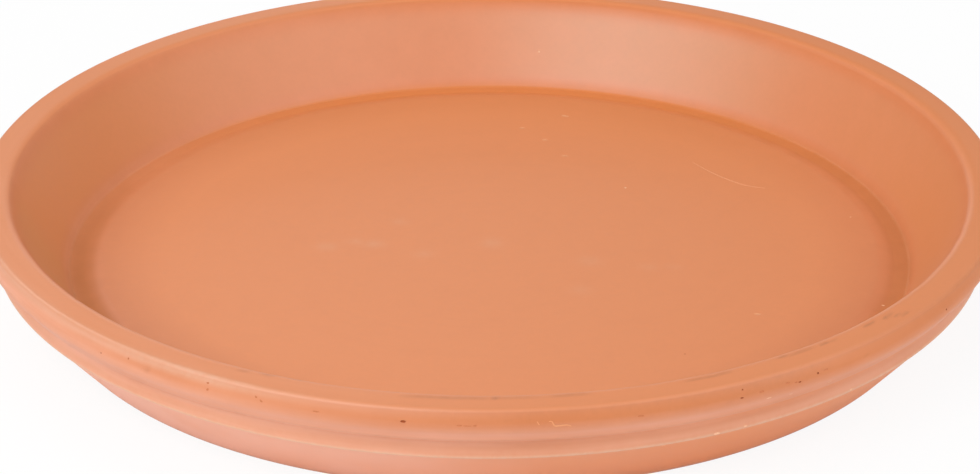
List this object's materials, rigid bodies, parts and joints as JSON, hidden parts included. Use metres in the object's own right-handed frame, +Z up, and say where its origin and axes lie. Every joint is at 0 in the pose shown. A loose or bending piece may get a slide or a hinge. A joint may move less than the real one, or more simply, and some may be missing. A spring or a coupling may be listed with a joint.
{
  "type": "plant saucer",
  "caption": "Round unglazed terracotta plant saucer with a thick rolled rim, a hollow and ledge below it, flared walls, a shallow gutter round the flat floor and a recessed base.",
  "frame": {"origin": "middle of the ring under the base that the saucer stands on", "axes": "+Z up along the saucer's axis, from the base to the rim; +X and +Y are any two square directions, because the saucer is round"},
  "size_m": [0.3, 0.3, 0.0335],
  "materials": {
    "terracotta": "matte"
  },
  "bodies": {
    "root": {"saucer": "terracotta"}
  },
  "joints": []
}
